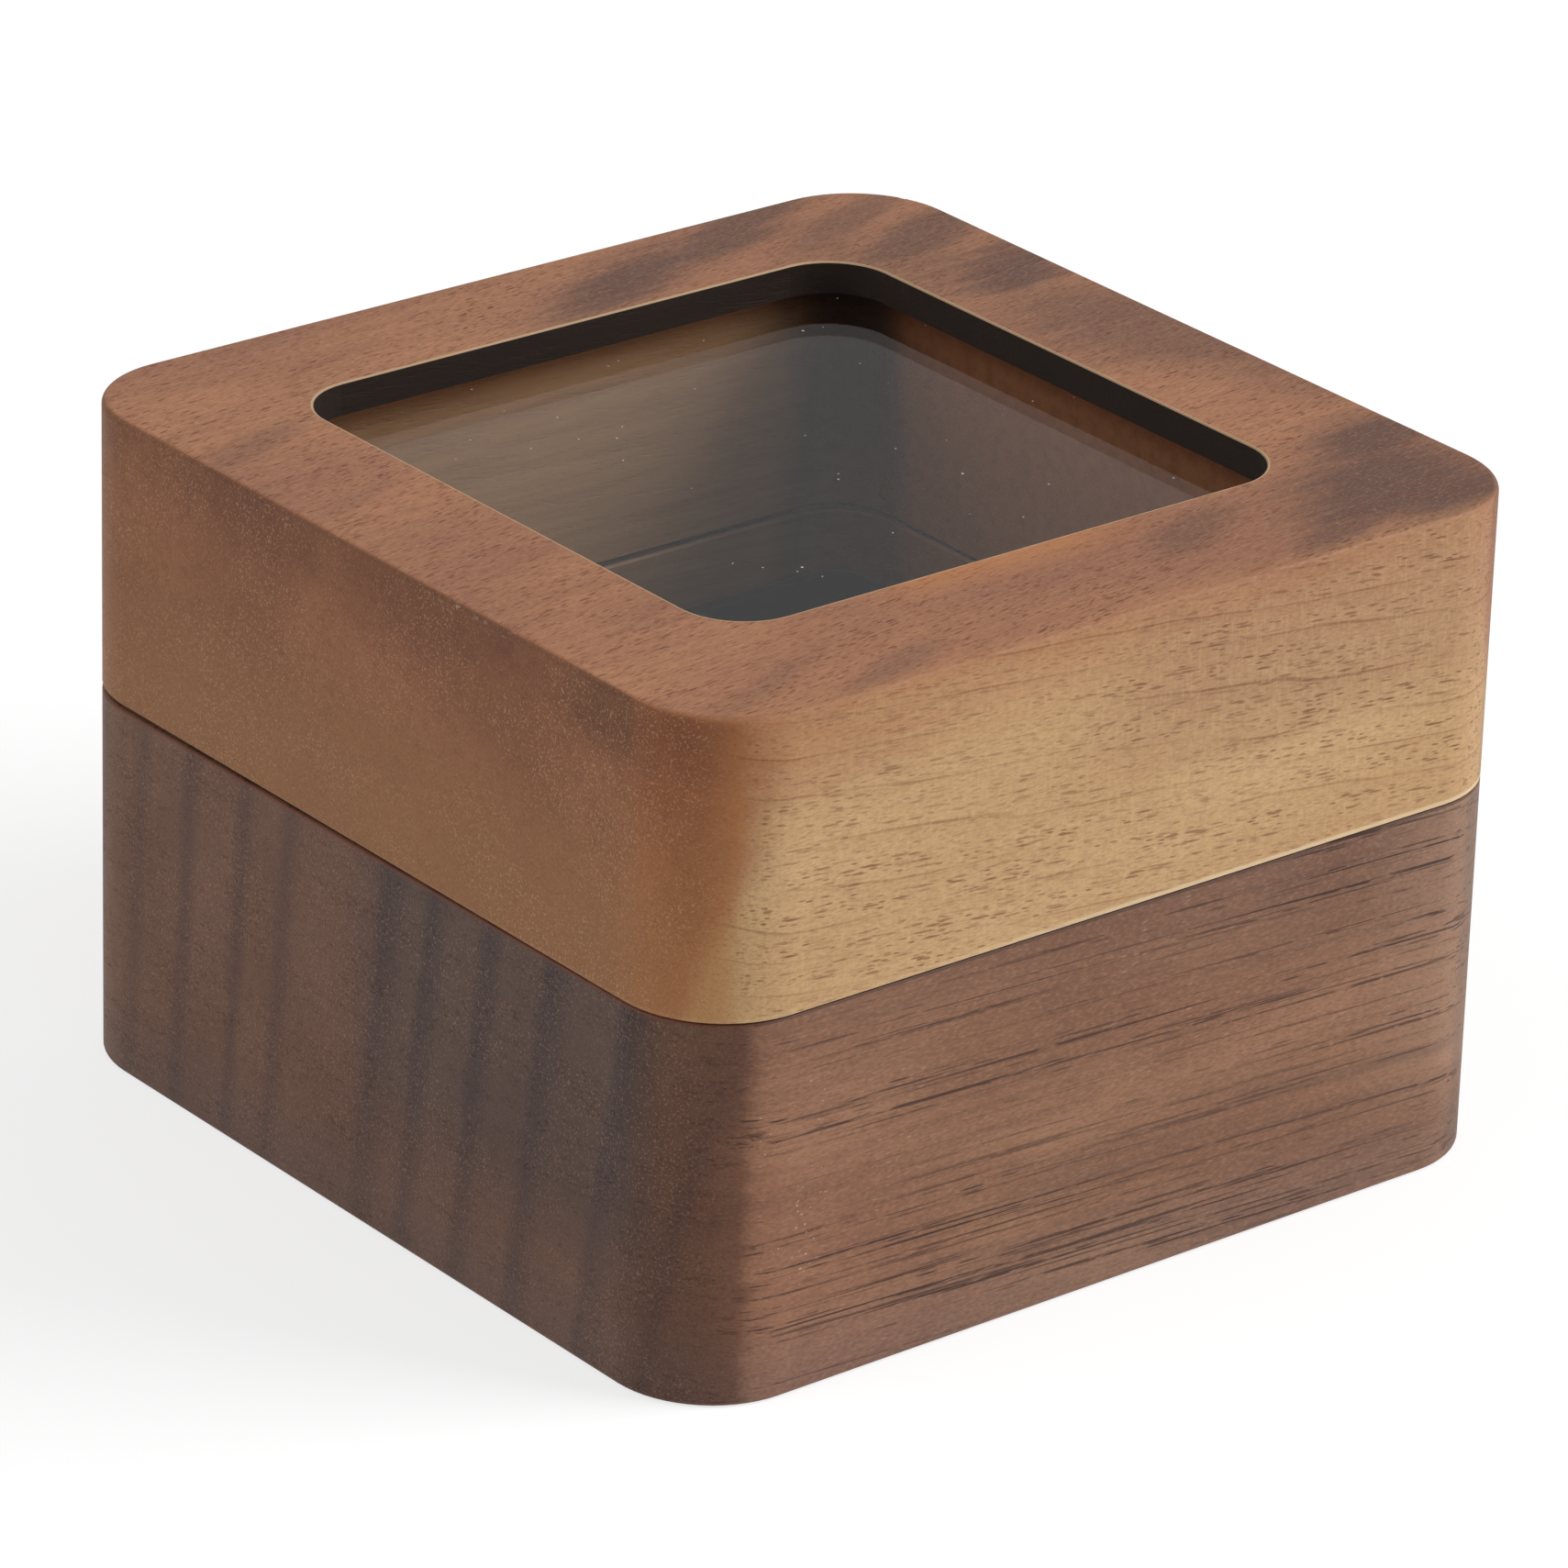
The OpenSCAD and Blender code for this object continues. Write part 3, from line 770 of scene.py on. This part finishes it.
def bevel_where(piece, test, radius, segments):
    """Rounds the edges whose middle and direction pass the test, in millimetres."""
    mesh = piece.data
    for part in (mesh.vertices, mesh.edges, mesh.polygons):
        part.foreach_set("select", [False] * len(part))
    for edge in mesh.edges:
        start, end = (mesh.vertices[v].co / MM for v in edge.vertices)
        edge.select = test((start + end) / 2, (end - start).normalized())
    bpy.ops.object.mode_set(mode="EDIT")
    bpy.ops.mesh.select_mode(type="EDGE")
    bpy.ops.mesh.bevel(offset=radius * MM, segments=segments, affect="EDGES")
    bpy.ops.object.mode_set(mode="OBJECT")


def apply(piece, kind, **settings):
    modifier = piece.modifiers.new(kind.lower(), kind)
    for name, setting in settings.items():
        setattr(modifier, name, setting)
    select_only(piece)
    bpy.ops.object.modifier_apply(modifier=modifier.name)


def swell(piece):
    """Blows the bar up like a stuffed cover that is glued down by its foot."""
    start = [v.co.copy() for v in piece.data.vertices]
    foot = min(p.z for p in start) + PIN_HEIGHT * MM
    pin = piece.vertex_groups.new(name="glued")
    pin.add([i for i, p in enumerate(start) if p.z < foot], 1, "REPLACE")
    centre = sum(start, Vector()) / len(start)
    for vertex in piece.data.vertices:
        vertex.co = (vertex.co - centre) * CLOTH_SCALE
    cloth = piece.modifiers.new("cover", "CLOTH")
    cloth.settings.quality = 6
    cloth.settings.mass = 0.3
    cloth.settings.tension_stiffness = cloth.settings.compression_stiffness = 12
    cloth.settings.bending_stiffness = 3
    cloth.settings.use_pressure = True
    cloth.settings.uniform_pressure_force = SWELL_PRESSURE
    cloth.settings.vertex_group_mass = pin.name
    cloth.settings.effector_weights.gravity = 0
    for step in range(1, CLOTH_FRAMES + 1):
        bpy.context.scene.frame_set(step)
    select_only(piece)
    bpy.ops.object.modifier_apply(modifier=cloth.name)
    bpy.context.scene.frame_set(1)
    for vertex, home in zip(piece.data.vertices, start):
        move = vertex.co / CLOTH_SCALE + centre - home
        if move.length > SWELL_LIMIT * MM:
            move = move.normalized() * SWELL_LIMIT * MM
        vertex.co = home + move
    piece.vertex_groups.clear()


def velvet_bar(name, node, front_corner, back_corner, material):
    """One stuffed bar in the place of a plain one."""
    low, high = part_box(node)
    middle = (low + high) / 2
    size = high - low - Vector((2, 2, 1)) * BAR_SLACK * MM
    seat = middle - Vector((0, 0, BAR_SLACK * MM / 2))
    bpy.ops.object.select_all(action="DESELECT")
    bpy.ops.mesh.primitive_cube_add(size=1, location=seat, scale=size)
    bar = bpy.context.object
    bar.name = bar.data.name = name
    bpy.ops.object.transform_apply(location=True, rotation=True, scale=True)
    middle = middle / MM
    top = middle.z + size.z / MM / 2 - BAR_SLACK / 2
    foot = top - size.z / MM
    for radius, side in ((front_corner, -1), (back_corner, 1)):
        bevel_where(bar, lambda p, d: abs(d.z) > 0.9 and (p.y - middle.y) * side > 0, radius, 6)
    for height, radius, segments in ((top, BAR_ROLL, 5), (foot, BAR_FOOT_ROLL, 2)):
        bevel_where(
            bar, lambda p, d: abs(p.z - height) < 0.01 and abs(d.z) < 0.1, radius, segments
        )
    apply(bar, "REMESH", mode="VOXEL", voxel_size=VOXEL * MM)
    swell(bar)
    apply(bar, "SMOOTH", factor=0.5, iterations=4)
    apply(bar, "SUBSURF", levels=1, render_levels=1)
    bpy.ops.object.shade_smooth()
    bar.data.materials.clear()
    bar.data.materials.append(material)
    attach(bar, "base")
    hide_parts(node)


velvet = black_velvet()
velvet_bar("velvet_bar_front", "ring_pad_front", HOLLOW_RADIUS, INNER_CORNER, velvet)
velvet_bar("velvet_bar_middle", "ring_pad_middle", INNER_CORNER, INNER_CORNER, velvet)
velvet_bar("velvet_bar_back", "ring_pad_back", INNER_CORNER, HOLLOW_RADIUS, velvet)


# ---- Camera: angles in degrees, distance and target in millimetres from the origin ----

CAMERA_AZIMUTH = -39.26
CAMERA_ELEVATION = 24.38
CAMERA_ROLL = 1.78
CAMERA_DISTANCE = 652.1
CAMERA_TARGET = (-1.21, -1.30, 25.21)
LENS = 208.63
SENSOR = 36
CLIP = 0.01, 20  # metres


def photo_camera():
    azimuth, elevation, roll = map(math.radians, (CAMERA_AZIMUTH, CAMERA_ELEVATION, CAMERA_ROLL))
    back = Vector(
        (
            math.sin(azimuth) * math.cos(elevation),
            -math.cos(azimuth) * math.cos(elevation),
            math.sin(elevation),
        )
    )
    right = Vector((math.cos(azimuth), math.sin(azimuth), 0))
    up = back.cross(right)
    right, up = (
        right * math.cos(roll) + up * math.sin(roll),
        up * math.cos(roll) - right * math.sin(roll),
    )
    data = bpy.data.cameras.new("photo_camera")
    data.lens, data.sensor_width = LENS, SENSOR
    data.clip_start, data.clip_end = CLIP
    camera = bpy.data.objects.new("photo_camera", data)
    bpy.context.scene.collection.objects.link(camera)
    turned = Matrix((right, up, back)).transposed().to_4x4()
    place = Vector(CAMERA_TARGET) * MM + back * CAMERA_DISTANCE * MM
    camera.matrix_world = Matrix.Translation(place) @ turned
    bpy.context.scene.camera = camera


# ---- Light, floor and background ----

AMBIENT = 0.34
BACKGROUND = 1  # white, where the background is seen
LAMP_DISTANCE = 1.2
LAMPS = (  # name, direction from the box, power, size
    ("right_softbox", (0.62, -0.54, 0.62), 11, 0.7),
    ("left_softbox", (-0.82, 0.3, 0.42), 4.2, 0.8),
)
FLOOR_SIZE = 6
FLOOR_WHITE = srgb(244, 244, 244)
FLOOR_GLOW = 1.25
FLOOR_GLOW_SHARE = 0.55


def studio_world():
    """Even soft light from all round, and a white background where it is seen."""
    world = bpy.data.worlds.new("studio")
    bpy.context.scene.world = world
    sky = Nodes(world)
    level = {"Value": sky.seen(), "To Min": AMBIENT, "To Max": BACKGROUND}
    strength = sky.node("ShaderNodeMapRange", inputs=level)
    colour = {"Color": (1, 1, 1, 1), "Strength": strength}
    background = sky.node("ShaderNodeBackground", inputs=colour)
    sky.node("ShaderNodeOutputWorld", inputs={"Surface": background})


def studio_floor():
    """White floor that keeps the box's shadow and fades into the background."""
    bpy.ops.object.select_all(action="DESELECT")
    bpy.ops.mesh.primitive_plane_add(size=FLOOR_SIZE, location=(0, 0, 0))
    floor = bpy.context.object
    floor.name = "floor"
    paint = Paint("white_floor")
    matt = paint.surface(Base_Color=FLOOR_WHITE, Roughness=1)
    glow = paint.node("ShaderNodeEmission", inputs={"Strength": FLOOR_GLOW})
    share = paint.seen() * FLOOR_GLOW_SHARE
    lit = paint.node("ShaderNodeMixShader", inputs=[share, matt, glow])
    floor.data.materials.append(paint.finish(lit))


def softboxes():
    for name, direction, power, size in LAMPS:
        light = bpy.data.lights.new(name, "AREA")
        light.energy, light.size = power, size
        lamp = bpy.data.objects.new(name, light)
        bpy.context.scene.collection.objects.link(lamp)
        direction = Vector(direction).normalized()
        lamp.location = direction * LAMP_DISTANCE
        lamp.rotation_mode = "QUATERNION"
        lamp.rotation_quaternion = direction.to_track_quat("Z", "Y")


photo_camera()
studio_world()
studio_floor()
softboxes()
bpy.context.scene.view_settings.view_transform = "Standard"
